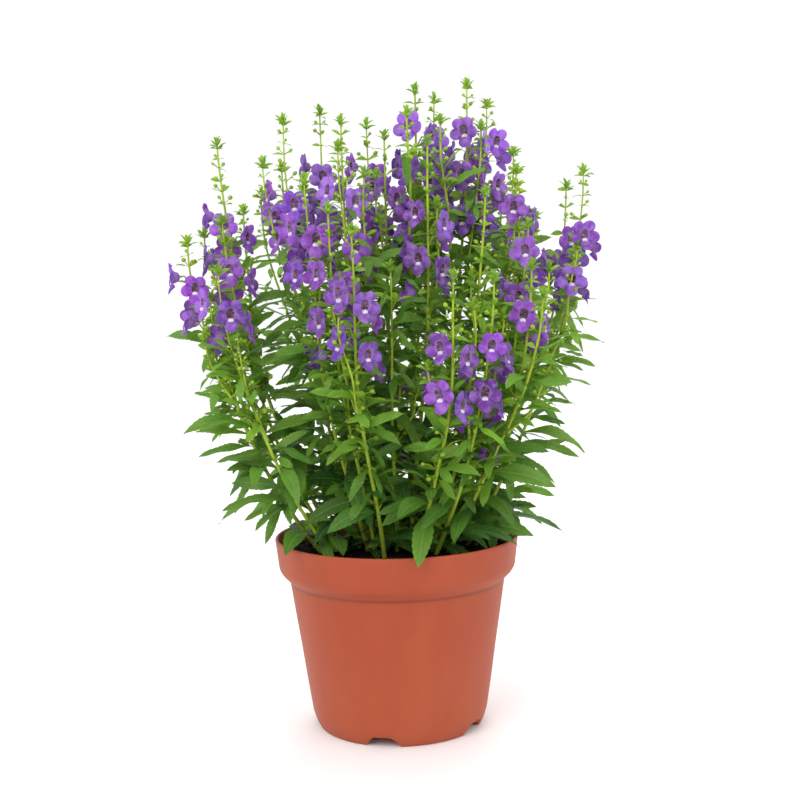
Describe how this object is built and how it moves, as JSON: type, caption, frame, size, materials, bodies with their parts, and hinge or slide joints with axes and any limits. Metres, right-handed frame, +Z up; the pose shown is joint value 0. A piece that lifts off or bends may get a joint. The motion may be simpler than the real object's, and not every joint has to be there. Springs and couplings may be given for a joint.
{
  "type": "potted angelonia",
  "caption": "Potted angelonia: a tapered round nursery pot of soil with a bushy plant, whose leafy upright stems end in spikes of two-lipped purple flowers.",
  "frame": {"origin": "centre of the pot's base, on the surface that the pot stands on", "axes": "+Z up, -Y towards the front of the plant, +X to the right seen from the front"},
  "size_m": [0.2287, 0.163, 0.348],
  "materials": {
    "pot": "satin terracotta-coloured plastic",
    "soil": "matt crumbly potting soil",
    "leaf": "slightly glossy living leaf and stem",
    "petal": "soft matt petal"
  },
  "bodies": {
    "root": {"pot": "pot", "soil": "soil", "leafy_stem_01": "leaf", "leafy_stem_02": "leaf", "leafy_stem_03": "leaf", "leafy_stem_04": "leaf", "leafy_stem_05": "leaf", "leafy_stem_06": "leaf", "leafy_stem_07": "leaf", "leafy_stem_08": "leaf", "leafy_stem_09": "leaf", "leafy_stem_10": "leaf", "leafy_stem_11": "leaf", "leafy_stem_12": "leaf", "leafy_stem_13": "leaf", "leafy_stem_14": "leaf", "leafy_stem_15": "leaf", "leafy_stem_16": "leaf", "leafy_stem_17": "leaf", "leafy_stem_18": "leaf", "leafy_stem_19": "leaf", "leafy_stem_20": "leaf", "leafy_stem_21": "leaf", "leafy_stem_22": "leaf", "leafy_stem_23": "leaf", "leafy_stem_24": "leaf", "leafy_stem_25": "leaf", "leafy_stem_26": "leaf", "leafy_stem_27": "leaf", "leafy_stem_28": "leaf", "leafy_stem_29": "leaf", "leafy_stem_30": "leaf", "flower_spike_01": "petal", "flower_spike_02": "petal", "flower_spike_03": "petal", "flower_spike_04": "petal", "flower_spike_05": "petal", "flower_spike_06": "petal", "flower_spike_07": "petal", "flower_spike_08": "petal", "flower_spike_09": "petal", "flower_spike_10": "petal", "flower_spike_11": "petal", "flower_spike_12": "petal", "flower_spike_13": "petal", "flower_spike_14": "petal", "flower_spike_15": "petal", "flower_spike_16": "petal", "flower_spike_17": "petal", "flower_spike_18": "petal", "flower_spike_19": "petal", "flower_spike_20": "petal", "flower_spike_22": "petal", "flower_spike_23": "petal", "flower_spike_24": "petal", "flower_spike_25": "petal", "flower_spike_27": "petal", "flower_spike_28": "petal", "flower_spike_29": "petal", "flower_spike_30": "petal"}
  },
  "joints": []
}
